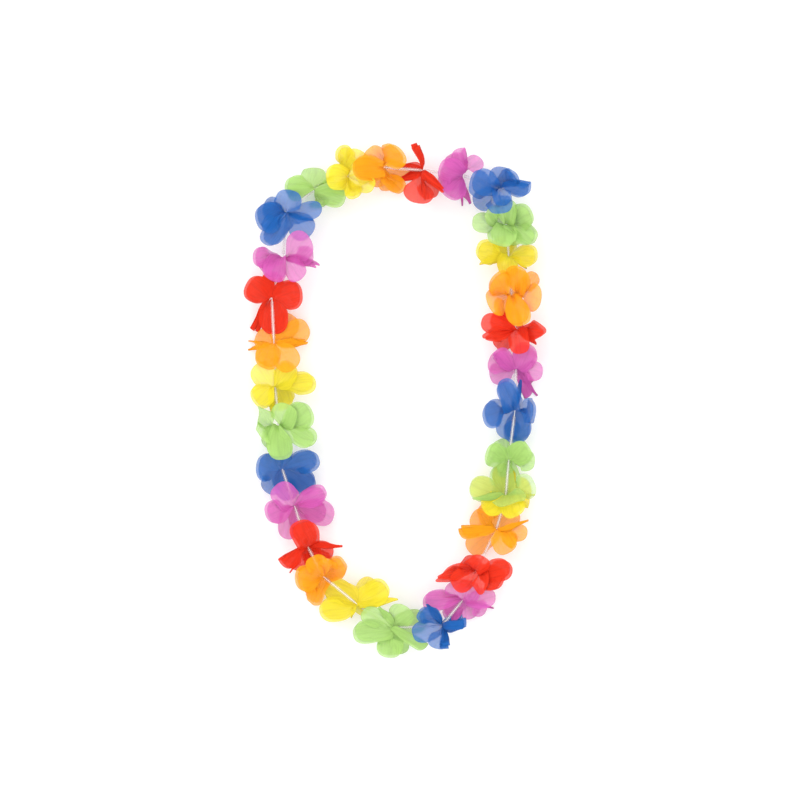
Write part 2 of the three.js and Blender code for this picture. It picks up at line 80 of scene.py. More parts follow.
# Each bloom: its colour, its middle, its level in the stack and its petals, nearest the eye first:
# those over the thread, those under the neighbouring blooms, and those between, just beneath the
# straws. A petal is its tip's place, the width that is seen from above, narrow where it is folded,
# and the number of cloth layers that lie together in it. A share after them says how it narrows.
# Without one, a narrow petal is POINTED and a wide one SQUARE. Each bloom is two cloths of five
# petals. `slipped` is one more cloth, which has slid down to the bloom from its neighbour: its last
# petal lies beneath the straws and the others lie over the bloom.
BLOOMS = [
    Bloom("blue", (-107, 184), 1,
          over=[(-128, 165, 18, 1), (-136, 174, 26, 2), (-127, 152, 20, 2), (-84, 160, 27, 1),
                (-72, 187, 19, 1), (-101, 205, 26, 1)],
          under=[(-130, 191, 24, 1), (-81, 177, 6, 1)]),
    Bloom("purple", (-110, 140), 3,
          over=[(-121, 117, 24, 2), (-92, 118, 21, 1), (-84, 159, 30, 1), (-139, 138, 21, 2),
                (-80, 142, 20, 1), (-74, 131, 11, 2)],
          under=[(-133, 129, 14, 1)]),
    Bloom("red", (-121, 101), 2,
          over=[(-145, 115, 27, 2), (-91, 106, 28, 2)],
          beneath=[(-120, 65, 27, 2)],
          under=[(-122, 127, 22, 2), (-141, 70, 6, 1, SQUARE), (-136, 68, 5, 1, SQUARE)]),
    Bloom("orange", (-119, 56), 1,
          over=[(-99, 31, 26, 1), (-129, 32, 24, 2)],
          beneath=[(-86, 58, 10, 2), (-86, 74, 26, 1), (-101, 84, 26, 1), (-136, 66, 22, 1)],
          under=[(-145, 59, 4, 1), (-145, 50, 7, 1)]),
    Bloom("yellow", (-118, 14), 0,
          over=[(-136, 36, 24, 1), (-100, 36, 22, 2), (-78, 19, 21, 2), (-138, -2, 24, 2)],
          beneath=[(-108, -8, 24, 2), (-121, -16, 8, 1)]),
    Bloom("green", (-114, -24), 2,
          over=[(-111, -57, 25, 2), (-82, -8, 28, 2), (-78, -40, 20, 2), (-130, -37, 28, 1),
                (-134, -5, 22, 1, SHARP), (-105, -3, 26, 1)],
          under=[(-122, -48, 24, 1)]),
    Bloom("blue", (-111, -66), 0,
          over=[(-136, -62, 28, 2), (-75, -55, 22, 2), (-109, -38, 18, 2)],
          beneath=[(-80, -86, 24, 2), (-126, -90, 22, 1), (-104, -97, 22, 1)]),
    Bloom("purple", (-99, -102), 1,
          over=[(-117, -82, 25, 1), (-68, -87, 19, 2), (-127, -111, 23, 2)],
          beneath=[(-69, -112, 22, 1), (-61, -114, 26, 1), (-107, -135, 20, 1),
                   (-92, -128, 20, 1)],
          under=[(-70, -101, 8, 1)]),
    Bloom("red", (-86, -142), 2,
          over=[(-94, -116, 25, 2), (-110, -161, 16, 2), (-52, -141, 8, 1)],
          beneath=[(-97, -166, 16, 1), (-78, -165, 18, 2)],
          under=[(-61, -148, 16, 1), (-104, -168, 5, 1)]),
    Bloom("orange", (-71, -171), 3,
          over=[(-49, -156, 22, 2), (-98, -171, 25, 2), (-82, -151, 22, 1), (-66, -153, 20, 1)],
          under=[(-82, -199, 17, 2), (-90, -182, 18, 1), (-84, -190, 14, 1)]),
    Bloom("yellow", (-38, -198), 1,
          over=[(-8, -179, 25, 2), (2, -192, 12, 1)],
          beneath=[(-69, -179, 25, 2), (-75, -205, 23, 2)],
          under=[(-44, -212, 5, 1), (-22, -174, 22, 1), (-28, -207, 14, 1)]),
    Bloom("green", (-4, -221), 0,
          over=[(13, -202, 26, 1), (-42, -226, 22, 2), (-17, -200, 10, 1), (-33, -205, 20, 1),
                (-6, -250, 26, 2), (29, -241, 12, 1, SQUARE)],
          under=[(8, -247, 18, 1), (30, -214, 24, 1)]),
    Bloom("blue", (45, -219), 2,
          over=[(22, -204, 18, 2), (48, -241, 9, 2, SQUARE), (69, -216, 10, 2, SQUARE),
                (30, -197, 10, 1), (37, -240, 20, 1), (16, -227, 22, 1)],
          under=[(66, -211, 14, 1)]),
    Bloom("purple", (65, -194), 0,
          over=[(26, -195, 20, 2), (58, -174, 26, 1), (97, -190, 20, 1), (74, -175, 24, 1)],
          beneath=[(50, -214, 18, 2), (76, -212, 20, 1), (88, -206, 18, 1)],
          under=[(96, -203, 5, 1)]),
    Bloom("red", (78, -166), 2,
          over=[(38, -173, 18, 2, POINTED), (113, -162, 21, 2), (83, -188, 18, 1, BLUNT),
                (104, -177, 25, 2), (55, -180, 24, 1), (87, -152, 20, 1)],
          beneath=[(65, -155, 22, 1)]),
    Bloom("orange", (98, -125), 0,
          over=[(61, -128, 12, 2, SQUARE), (129, -116, 7, 1), (110, -148, 24, 1),
                (128, -129, 18, 1)],
          beneath=[(71, -147, 24, 1), (74, -111, 22, 1), (88, -99, 22, 1), (118, -107, 22, 1)],
          under=[(118, -139, 16, 1)]),
    Bloom("yellow", (107, -92), 1,
          over=[(116, -113, 24, 2), (86, -108, 22, 2)],
          beneath=[(106, -61, 22, 2), (73, -82, 24, 1)],
          under=[(131, -98, 16, 1), (136, -92, 5, 1), (131, -81, 22, 1)],
          slipped=[(110, -101, 34, 1), (72, -81, 26, 1), (74, -95, 9, 1), (134, -78, 26, 1),
                   (102, -62, 24, 1)]),
    Bloom("green", (110, -57), 2,
          over=[(88, -48, 24, 2), (129, -44, 24, 2), (135, -59, 22, 1)],
          under=[(114, -86, 20, 1), (100, -38, 22, 1), (122, -36, 20, 1), (96, -78, 16, 1),
                 (126, -46, 22, 1)]),
    Bloom("blue", (116, -9), 3,
          over=[(84, -16, 26, 2), (103, 21, 19, 2), (136, -10, 25, 2)],
          beneath=[(119, -41, 26, 2), (106, -37, 24, 1)],
          under=[(122, 21, 9, 1)]),
    Bloom("purple", (117, 31), 0,
          over=[(131, 55, 24, 2), (98, 50, 16, 2), (143, 28, 20, 1)],
          beneath=[(91, 41, 24, 1), (92, 23, 22, 1)],
          under=[(131, 4, 12, 1, SQUARE), (138.5, 5, 7, 1), (133, 18, 8, 1, SQUARE)]),
    Bloom("red", (117, 69), 2,
          over=[(122, 46, 20, 1), (146, 67, 21, 2, BLUNT), (84, 61, 17, 2, TAPERED),
                (83, 78, 21, 1)],
          under=[(98, 52, 20, 1), (138, 56, 12, 1), (108, 90, 20, 1), (94, 84, 20, 1)]),
    Bloom("orange", (113, 103), 3,
          over=[(122, 73, 23, 2), (96, 123, 25, 2), (118, 131, 22, 2), (141, 98, 28, 1),
                (91, 90, 28, 1)],
          under=[(138, 124, 17, 1), (101, 85, 20, 1)]),
    Bloom("yellow", (110, 141), 0,
          over=[(138, 142, 21, 2), (78, 148, 23, 2), (108, 121, 20, 2), (81, 134, 12, 1)],
          under=[(128, 130, 6, 1), (104, 162, 22, 2)]),
    Bloom("green", (107, 172), 2,
          over=[(74, 174, 20, 1), (132, 184, 26, 2), (104, 150, 26, 2), (136, 156, 20, 2),
                (90, 187, 18, 1), (106, 196, 22, 1)],
          under=[(120, 153, 16, 1)]),
    Bloom("blue", (100, 207), 3,
          over=[(106, 190, 18, 1), (104, 182, 26, 1), (73, 218, 26, 2), (116, 222, 20, 2),
                (131, 204, 16, 2)],
          under=[(104, 229, 24, 1), (77, 191, 22, 1)]),
    Bloom("purple", (65, 220), 0,
          over=[(42, 228, 26, 2), (50, 198, 24, 2), (60, 246, 16, 1), (83, 236, 18, 1)],
          under=[(52, 241, 20, 1), (42, 212, 20, 1), (65, 191, 5, 1), (73, 193, 9, 1)]),
    Bloom("red", (26, 225), 3,
          over=[(18, 250, 7, 2, SQUARE), (28, 194, 5, 1), (20, 192, 30, 1), (47, 203, 9, 2)],
          beneath=[(1, 230, 10, 1)],
          under=[(35, 198, 22, 1), (2, 216, 8, 2)]),
    Bloom("orange", (-12, 228), 2,
          over=[(-42, 226, 23, 2), (7, 242, 26, 2), (-29, 243, 22, 1)],
          under=[(6, 204, 17, 2), (14, 222, 18, 1), (-25, 212, 20, 1), (-6, 206, 18, 1)]),
    Bloom("yellow", (-47, 219), 1,
          over=[(-50, 249, 17, 2), (-39, 197, 17, 2), (-33, 243, 24, 1), (-24, 226, 26, 1),
                (-68, 217, 26, 1), (-21, 208, 20, 1)],
          under=[(-56, 202, 16, 1), (-66, 222, 22, 1)]),
    Bloom("green", (-80, 206), 0,
          over=[(-108, 211, 20, 2), (-49, 197, 22, 2)],
          beneath=[(-78, 228, 26, 1)],
          under=[(-75, 189, 20, 2), (-106, 201, 16, 1), (-50, 212, 16, 1), (-60, 214, 16, 1)]),
]

SLIPPED_COLOUR = "green"  # the loose cloth that has slid down the thread to its neighbour
PETALS = 5  # of one cloth

# How the petals are stacked, in millimetres up from the thread.
TOP_LEVEL = 3
FIRST_LIFT = 4.5  # of the lowest bloom's petals over the thread
LEVEL_LIFT = 4.5  # from one level to the next
LAYER_LIFT = 0.9  # from one petal of a bloom to the next
LAYER_RANGE = 3.6  # the most that the petals of one bloom take up
BENEATH_LIFT = -2.8  # just clear of a straw's underside
BENEATH_STEP = 3.2  # so much lower for each level below the top one
SLIPPED_LIFT = 4.5  # of the slipped cloth, above the bloom that it has slid down to

PLY_TURN = 5.0  # degrees between the two layers of a doubled petal
PLY_SHORT = 2.6  # the lower layer's tip stops this far inside the upper one's
POINT_WIDTH = 13  # a petal seen narrower than this is folded to a point
CLOTH_OFFSETS = {"front": 0.5, "back": -0.5, "slipped": 1.5}  # along the thread, in layer gaps

LOWEST = 0.25 * MM  # of the cloth, above the table
TABLE_GAP = 0.5 * MM  # from the table to the lowest that a petal's tip sinks
SAME_PLACE = 0.01 * MM  # points nearer than this are one

# The seeds of the petals' random draws.
BLOOM_SEEDS = 100
SINGLE_SEEDS = 10
SLIPPED_SEEDS = 7000

KNOT_AFTER = 14  # the knot lies between this bloom and the next one
KNOT_SPREAD = 1.15  # the knot's size, in its loops' radii
KNOT_DEPTH = 0.42  # how far its loops stand apart, as a share of that
TAIL_LENGTH = 9.0  # of each cut end, past the knot's middle
TAIL_SPREAD = 0.6  # radians between a tail and the thread
TWIST_STEPS = 10  # the thread's points in one twist
STRAND_DEPTH = 0.08  # of the grooves between the thread's strands, as a share of its radius

KEY_PLACE = Vector((-1.1, 1.3, 2.3))  # of the large soft light, in metres
KEY_SIDE = 1.6


def hub_at(index):
    """The middle of a bloom, on the thread."""
    place = (Vector(BLOOMS[index % len(BLOOMS)].hub) - CENTRE) * MM
    return Vector((place.x, place.y, THREAD_HEIGHT))


def thread_direction(index):
    """The thread's way through a bloom, halfway between its two stretches."""
    before = (hub_at(index) - hub_at(index - 1)).normalized()
    after = (hub_at(index + 1) - hub_at(index)).normalized()
    return (before + after).normalized()


def middle_height(node):
    low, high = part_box(node)
    return (low.z + high.z) / 2


THREAD_HEIGHT = middle_height("cord")


# ---------------------------------------------------------------- sizes and colours

def size(name, description, value, low=0.0, high=1.0):
    """A length that a user may change, from its value in millimetres."""
    return FloatProperty(name=name, description=description, default=value * MM,
                         min=low, max=high, subtype="DISTANCE", unit="LENGTH", precision=5)


def amount(name, description, value, high=1.0):
    return FloatProperty(name=name, description=description, default=value,
                         min=0.0, max=high, subtype="FACTOR")


def tint(name, description, value):
    """A colour in Blender's linear light."""
    return FloatVectorProperty(name=name, description=description, default=value,
                               min=0.0, max=1.0, size=3, subtype="COLOR")


class LeiCloth(bpy.types.PropertyGroup):
    """The petals' cut and the way the cloth lies."""

    reach: size("Petal length", "From the hole in a cloth's middle to a petal's tip", 35)
    width: size("Petal width", "Across the flat cloth, at a petal's widest", 25)
    notch: size("Notch radius", "How near the middle the cuts between the petals reach", 10)
    eyelet: size("Hole radius", "The hole that the thread goes through", 0.9)
    collar: size("Collar radius", "The gathered ring round the hole that the petals leave", 1.5)
    ply_gap: size("Layer gap", "Between two cloths that lie together", 0.45)
    crimp: size("Crimp height", "The small radial creases, from crest to trough", 0.3)
    fold_limit: size("Wave height", "The most that the waves across a petal stand up", 1.2)
    fold_gap: size("Fold gap", "Between the layers of a petal that is folded along its length", 0.5)
    give: amount("Give", "The share of the cut's width that the folds keep", 0.9)
    rows: IntProperty(name="Rows", description="Faces along a petal", default=18, min=6, max=60)
    columns: IntProperty(name="Columns", description="Faces across a petal", default=24, min=8,
                         max=80)
    thread_pitch: size("Weave pitch", "Between two threads of the weave", 0.32)


class LeiColours(bpy.types.PropertyGroup):
    """The dyes, and how much of the light behind one cloth layer they stop."""

    blue: tint("Blue", "Dye of the blue cloth", (0.013, 0.138, 0.50))
    purple: tint("Purple", "Dye of the purple cloth", (0.70, 0.116, 0.480))
    red: tint("Red", "Dye of the red cloth", (0.84, 0.032, 0.008))
    orange: tint("Orange", "Dye of the orange cloth", (1.0, 0.39, 0.006))
    yellow: tint("Yellow", "Dye of the yellow cloth", (0.90, 0.76, 0.030))
    green: tint("Green", "Dye of the green cloth", (0.435, 0.70, 0.183))
    blue_cover: amount("Blue cover", "Share of the light that one blue layer stops", 0.72)
    purple_cover: amount("Purple cover", "Share of the light that one purple layer stops", 0.70)
    red_cover: amount("Red cover", "Share of the light that one red layer stops", 0.88)
    orange_cover: amount("Orange cover", "Share of the light that one orange layer stops", 0.80)
    yellow_cover: amount("Yellow cover", "Share of the light that one yellow layer stops", 0.78)
    green_cover: amount("Green cover", "Share of the light that one green layer stops", 0.76)
    slipped_cover: amount("Slipped cover", "The same of the loose cloth that has slid down", 0.5)
    straw: tint("Straw", "The milky plastic of the straws", (0.86, 0.80, 0.79))
    thread: tint("Thread", "The white thread", (0.95, 0.94, 0.91))


class LeiString(bpy.types.PropertyGroup):
    """The thread and the straws on it."""

    straw_radius: size("Straw radius", "Outside a straw", 1.7)
    straw_wall: size("Straw wall", "The thickness of a straw's wall", 0.18)
    straw_length: size("Straw length", "The longest straw; closer blooms have shorter ones", 37)
    straw_rest: size("Straw clearance", "From a bloom's middle to the straw's end", 1.3)
    straw_cover: amount("Straw cover", "Share of the light that a face of a straw's wall stops",
                        0.12)
    thread_radius: size("Thread radius", "Outside the twisted thread", 0.45)
    thread_lay: size("Thread lay", "The length of one twist of the thread", 6)
    knot_radius: size("Knot radius", "The middle line of the knot's loops", 1.0)


class LeiStage(bpy.types.PropertyGroup):
    """The table, the lights and the camera."""

    floor_side: size("Floor side", "The pale table's side", 6000, high=20.0)
    floor_grey: amount("Floor brightness", "How light the table is", 0.82)
    floor_glow: amount("Floor glow", "The light that the table gives, as a light box does", 0.22)
    sky: amount("Sky", "The soft light from all round", 1.25, high=4.0)
    key: FloatProperty(name="Key light", description="The large soft light's power", default=8.0,
                       min=0.0, max=500.0, unit="POWER")
    camera_height: size("Camera height", "Above the thread, so high that little is foreshortened",
                        4500, high=20.0)
    frame_side: size("Frame side", "The square that the camera sees at the thread's height", 780)
    frame_x: size("Frame X", "Middle of the view", 4.1, low=-1.0)
    frame_y: size("Frame Y", "Middle of the view", 0.8, low=-1.0)


# ---------------------------------------------------------------- materials

BAND_SCALE = math.pi / 10  # of a Wave texture whose bands are one unit apart
SIDE_EDGE = (0.028, 0.004)  # where the fused edge starts and is whole, in from a petal's sides
TIP_EDGE = (0.975, 0.998)  # the same, out to its tip
EDGE_SHADE = 0.84
# Painted shade and highlight of the crimps: the dye is darkened at one end of the streaks and
# lightened past white at the other, as light falls on creases.
PAINTED_CREASE_LIGHT = ((0.3, 0.86), (0.72, 1.06))  # (place in the streaks, brightness)
FLOOR_SHADE = 0.01  # how uneven the table's grey is


def plain(grey):
    return (grey, grey, grey, 1.0)


class Finish:
    """A material with one Principled shader, and the steps that its nodes are built from."""

    def __init__(self, name, **values):
        self.material = bpy.data.materials.new(name)
        self.material.use_nodes = True
        self.tree = self.material.node_tree
        self.shader(**values)

    def give(self, socket, value):
        """Set a socket, or join another one to it."""
        if isinstance(value, bpy.types.NodeSocket):
            self.tree.links.new(value, socket)
        else:
            socket.default_value = value

    def prepare(self, node, values):
        """Give a node's sockets and settings their values, by their names."""
        for key, value in values.items():
            name = key.replace("_", " ")
            if name in node.inputs:
                self.give(node.inputs[name], value)
            else:
                setattr(node, key, value)
        return node

    def shader(self, **values):
        self.prepare(self.tree.nodes["Principled BSDF"], values)

    def node(self, kind, **values):
        """A new node; a space in a socket's name is written as a low line."""
        return self.prepare(self.tree.nodes.new("ShaderNode" + kind), values)

    def reckon(self, operation, *values):
        made = self.node("Math", operation=operation)
        for socket, value in zip(made.inputs, values):
            self.give(socket, value)
        return made.outputs["Value"]

    def ranged(self, share, low, high):
        """From low to high, as the share goes from 0 to 1."""
        return self.node("MapRange", To_Min=low, To_Max=high, Value=share).outputs["Result"]

    def eased(self, value, start, end):
        """From 0 to 1, as the value goes from the start to the end."""
        made = self.node("MapRange", interpolation_type="SMOOTHSTEP", From_Min=start, From_Max=end,
                         Value=value)
        return made.outputs["Result"]

    def times(self, colour, shade, share=1.0):
        """A colour times a shade, as far as the share says."""
        made = self.node("Mix", data_type="RGBA", blend_type="MULTIPLY", Factor=share)
        for socket, value in zip(made.inputs[6:8], (colour, shade)):
            self.give(socket, value)
        return made.outputs[2]

    def bump(self, height, strength, distance, **below):
        """A surface direction with low relief, over another one that is given as its Normal."""
        return self.node("Bump", Strength=strength, Distance=distance, Height=height,
                         **below).outputs["Normal"]


def cloth_material(name, dye, cover, cloth):
    """Sheer woven polyester: a fine plain weave, radial crimps with painted shade and highlight
    along them, and a fused edge.
    """
    finish = Finish(name, Alpha=cover, Roughness=0.62, Specular_IOR_Level=0.15,
                    Sheen_Weight=0.05, Sheen_Roughness=0.45)
    cut = finish.node("UVMap", uv_map="cut").outputs["UV"]
    petal = finish.node("UVMap", uv_map="petal").outputs["UV"]

    # Warp and weft, as two bands of ridges in the flat cloth's own millimetres.
    threads = []
    for direction in ("X", "Y"):
        band = finish.node("TexWave", wave_type="BANDS", bands_direction=direction,
                           wave_profile="SIN", Scale=BAND_SCALE / (cloth.thread_pitch / MM),
                           Distortion=0.6, Detail=1.0, Vector=cut)
        threads.append(band.outputs["Fac"])
    weave = finish.reckon("MULTIPLY", *threads)

    # Crimps: long streaks that run out from the middle. They give the crimps' bumps, and a painted
    # shade and highlight along them.
    stretched = finish.node("Mapping", Scale=(9.0, 1.1, 1.0), Vector=petal).outputs["Vector"]
    streaks = finish.node("TexNoise", Scale=1.6, Detail=3.0, Roughness=0.55,
                          Vector=stretched).outputs["Fac"]
    specks = finish.node("TexNoise", Scale=1.1, Detail=2.0, Roughness=0.7,
                         Vector=cut).outputs["Fac"]

    # The fused edge, from the petal's own coordinates.
    split = finish.node("SeparateXYZ", Vector=petal)
    from_side = finish.reckon("PINGPONG", split.outputs["X"], 0.5)
    edge = finish.reckon("MAXIMUM", finish.eased(from_side, *SIDE_EDGE),
                         finish.eased(split.outputs["Y"], *TIP_EDGE))

    # The streaks painted darker and lighter in the dye: painted shade and highlight of the crimps,
    # not the cloth's own colour.
    painted_crease_light_ramp = finish.node("ValToRGB", Fac=streaks)
    for stop, (place, grey) in zip(painted_crease_light_ramp.color_ramp.elements, PAINTED_CREASE_LIGHT):
        stop.position = place
        stop.color = plain(grey)
    dyed_and_shaded = finish.times((*dye, 1.0), painted_crease_light_ramp.outputs["Color"])
    shaded_and_grained = finish.times(dyed_and_shaded, finish.ranged(specks, 0.9, 1.12))
    woven = finish.bump(weave, 0.35, 0.06 * MM)
    finish.shader(Base_Color=finish.times(shaded_and_grained, plain(EDGE_SHADE), share=edge),
                  Normal=finish.bump(streaks, 0.5, 0.5 * MM, Normal=woven))
    return finish.material


def straw_material(colours, string):
    """Thin milky plastic, with faint lines along it from the die."""
    finish = Finish("straw_plastic", Alpha=string.straw_cover, Roughness=0.18, IOR=1.49)
    wall = finish.node("UVMap", uv_map="wall").outputs["UV"]
    stretched = finish.node("Mapping", Scale=(40.0, 1.5, 1.0), Vector=wall).outputs["Vector"]
    lines = finish.node("TexNoise", Scale=1.0, Detail=2.0, Vector=stretched).outputs["Fac"]
    finish.shader(Base_Color=finish.times((*colours.straw, 1.0), finish.ranged(lines, 0.88, 1.08)),
                  Normal=finish.bump(lines, 0.15, 0.05 * MM))
    return finish.material


def thread_material(colours):
    """White cotton, with fine fibres."""
    finish = Finish("cord_thread", Roughness=0.92, Sheen_Weight=0.3)
    place = finish.node("TexCoord").outputs["Object"]
    fibres = finish.node("TexNoise", Scale=2600.0, Detail=4.0, Roughness=0.7,
                         Vector=place).outputs["Fac"]
    finish.shader(Base_Color=finish.times((*colours.thread, 1.0),
                                          finish.ranged(fibres, 0.88, 1.06)),
                  Normal=finish.bump(fibres, 0.3, 0.06 * MM))
    return finish.material


def floor_material(stage):
    """The pale table: matt, with a trace of unevenness, and lit a little from inside."""
    finish = Finish("pale_table", Emission_Color=plain(1.0), Emission_Strength=stage.floor_glow,
                    Roughness=0.9, Specular_IOR_Level=0.1)
    place = finish.node("TexCoord").outputs["Object"]
    cloudy = finish.node("TexNoise", Scale=3.0, Detail=2.0, Vector=place).outputs["Fac"]
    finish.shader(Base_Color=finish.ranged(cloudy, stage.floor_grey - FLOOR_SHADE,
                                           stage.floor_grey + FLOOR_SHADE))
    return finish.material


# ---------------------------------------------------------------- making pieces

def finished(mesh, name, material, nodes):
    """A bmesh as a smooth piece of the lei, riding on its one body in place of the given nodes."""
    data = bpy.data.meshes.new(name)
    mesh.to_mesh(data)
    mesh.free()
    data.polygons.foreach_set("use_smooth", [True] * len(data.polygons))
    data.materials.append(material)
    obj = bpy.data.objects.new(name, data)
    bpy.context.scene.collection.objects.link(obj)
    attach(obj, "root")
    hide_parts(*nodes)
    return obj


def bloom_node(index):
    return f"bloom_{index + 1:02d}_{BLOOMS[index].colour}"


def swept(path, section, turn_at=None, closed=False):
    """A bmesh tube of a section carried along a path, turned on the way by turn_at(length)."""
    mesh = bmesh.new()
    ring = bmesh.ops.create_circle(mesh, segments=len(section), radius=1.0)["verts"]
    start = list(ring)
    count = len(path)
    side = None
    travelled = 0.0
    for step, point in enumerate(path):
        if closed:
            ahead = path[(step + 1) % count] - path[step - 1]
        else:
            ahead = path[min(step + 1, count - 1)] - path[max(step - 1, 0)]
        ahead.normalize()
        if side is None:
            side = ahead.orthogonal()
        side = (side - ahead * side.dot(ahead)).normalized()
        other = ahead.cross(side)
        if step:
            travelled += (point - path[step - 1]).length
            edges = {edge for vert in ring for edge in vert.link_edges}
            rim = [edge for edge in edges if all(vert in ring for vert in edge.verts)]
            made = bmesh.ops.extrude_edge_only(mesh, edges=rim)["geom"]
            fresh = [item for item in made if isinstance(item, bmesh.types.BMVert)]
            ring = matched(ring, fresh)
        turn = turn_at(travelled) if turn_at else 0.0
        for k, vert in enumerate(ring):
            angle = 2 * math.pi * k / len(section) + turn
            vert.co = point + (side * math.cos(angle) + other * math.sin(angle)) * section[k]
    if closed:
        edges = [edge for edge in mesh.edges if edge.is_boundary]
        bmesh.ops.bridge_loops(mesh, edges=edges)
    else:
        for rim in (start, ring):
            bmesh.ops.contextual_create(mesh, geom=rim)
    bmesh.ops.recalc_face_normals(mesh, faces=mesh.faces)
    return mesh


def matched(ring, fresh):
    """The extruded vertices in the order of the ring that they came from."""
    partner = {}
    for vert in fresh:
        for edge in vert.link_edges:
            partner[edge.other_vert(vert)] = vert
    return [partner[vert] for vert in ring]


# ---------------------------------------------------------------- the cloth

Ply = namedtuple("Ply", "tip width height part narrowing turn short seed")


def smooth(value):
    """From 0 to 1 as the value goes from 0 to 1, eased."""
    value = min(max(value, 0.0), 1.0)
    return value * value * (3 - 2 * value)


def heights(count, level, part):
    """How far each petal of a list lies from the thread, nearest the eye first, in millimetres."""
    layer = min(LAYER_LIFT, LAYER_RANGE / max(count - 1, 1))
    top_down = [layer * (count - 1 - k) for k in range(count)]
    if part == "over":
        return [FIRST_LIFT + LEVEL_LIFT * level + below for below in top_down]
    if part == "beneath":
        lift = BENEATH_LIFT - BENEATH_STEP * (TOP_LEVEL - level)
        return [lift - layer * k for k in range(count)]
    sunk = FIRST_LIFT + LEVEL_LIFT * (TOP_LEVEL - level) + LAYER_RANGE
    return [below - sunk for below in top_down]


def narrowing_of(width):
    return POINTED if width < POINT_WIDTH else SQUARE


def bloom_layers(index):
    """A bloom's petals shared out to its two cloths, five to each."""
    bloom = BLOOMS[index]
    cloths = ([], [])
    singles = []
    for part in ("over", "beneath", "under"):
        petals = getattr(bloom, part)
        for k, height in enumerate(heights(len(petals), bloom.level, part)):
            x, y, width, layers, *end = petals[k]
            narrowing = end[0] if end else narrowing_of(width)
            seed = index * BLOOM_SEEDS + len(cloths[0]) + len(singles) * SINGLE_SEEDS
            ply = Ply((x, y), width, height, part, narrowing, 0.0, 0.0, seed)
            if layers == 1:
                singles.append(ply)
                continue
            turn = PLY_TURN if seed % 2 else -PLY_TURN
            cloths[0].append(ply._replace(turn=-turn / 2))
            cloths[1].append(ply._replace(turn=turn / 2, short=PLY_SHORT))
    for ply in singles:
        min(cloths, key=len).append(ply)
    if any(len(cloth) != PETALS for cloth in cloths):
        raise RuntimeError(f"bloom {index + 1} has {[len(cloth) for cloth in cloths]} petals")
    return cloths


def slipped_layer(index):
    """The cloth that has slid down to a neighbour: its petals lie just over that bloom's own."""
    bloom = BLOOMS[index]
    top = FIRST_LIFT + LEVEL_LIFT * bloom.level + LAYER_RANGE + SLIPPED_LIFT
    plies = []
    for k, (x, y, width, _) in enumerate(bloom.slipped):
        last = k == PETALS - 1
        part = "beneath" if last else "over"
        height = BENEATH_LIFT if last else top - LAYER_LIFT * k
        plies.append(Ply((x, y), width, height, part, narrowing_of(width), 0.0, 0.0,
                         SLIPPED_SEEDS + k))
    return plies


class Outline:
    """A petal's outline, from the middle of the bloom to its blunt round tip."""

    TIP_SHARE = 0.34  # how much of the reach the round tip takes
    TIP_LEAST = 0.75  # the least that it takes, as a share of the half width
    TIP_MOST = (0.9, 0.06)  # the most, as shares of the half width and the reach together
    TIP_LIMIT = 0.6  # the most, as a share of the reach alone
    ROUNDNESS = 2.5  # of the tip: 2 is an ellipse, and more is squarer
    CORNER = 0.4  # where the grid's sides end, as a share of the round tip's length
    ROOT = 0.10  # the half width at the root, as a share of the reach
    ROOT_MOST = 0.5  # the same as a share of the half width, at most
    FAN = math.pi / 3  # how the grid's lines crowd towards the sides

    def __init__(self, reach, half_width):
        self.reach = reach
        self.half = half_width
        self.tip = max(self.TIP_SHARE * reach, self.TIP_LEAST * half_width)
        self.tip = min(self.tip, self.TIP_MOST[0] * half_width + self.TIP_MOST[1] * reach,
                       self.TIP_LIMIT * reach)
        self.centre = reach - self.tip
        self.corner_x = self.centre + self.tip * self.CORNER

    def rounded(self, share):
        """The round tip's other measure, both as shares of its own full ones."""
        return max(1 - abs(share) ** self.ROUNDNESS, 0.0) ** (1 / self.ROUNDNESS)

    def half_at(self, x):
        """Half the petal's width, this far out."""
        if x >= self.centre:
            return self.half * self.rounded(min((x - self.centre) / self.tip, 1.0))
        root = min(self.ROOT * self.reach / self.half, self.ROOT_MOST)
        return self.half * (root + (1 - root) * math.sin(math.pi / 2 * x / self.centre))

    def place(self, u, v):
        """(along, across, share across) of the grid's point at u out and v across, -1 to 1."""
        side_x = u * self.corner_x
        middle_x = u * self.reach
        share = math.sin(v * self.FAN) / math.sin(self.FAN)
        bulge = (self.rounded(share * self.rounded(self.CORNER)) - self.CORNER) / (1 - self.CORNER)
        return side_x + (middle_x - side_x) * bulge, self.half_at(side_x) * share, share


def bezier(points, t):
    """The point at share t of a cubic curve."""
    a, b, c, d = points
    s = 1 - t
    return a * s ** 3 + b * (3 * s * s * t) + c * (3 * s * t * t) + d * t ** 3


def bezier_slope(points, t):
    """The curve's direction there."""
    a, b, c, d = points
    s = 1 - t
    return (b - a) * s * s + (c - b) * (2 * s * t) + (d - c) * t * t


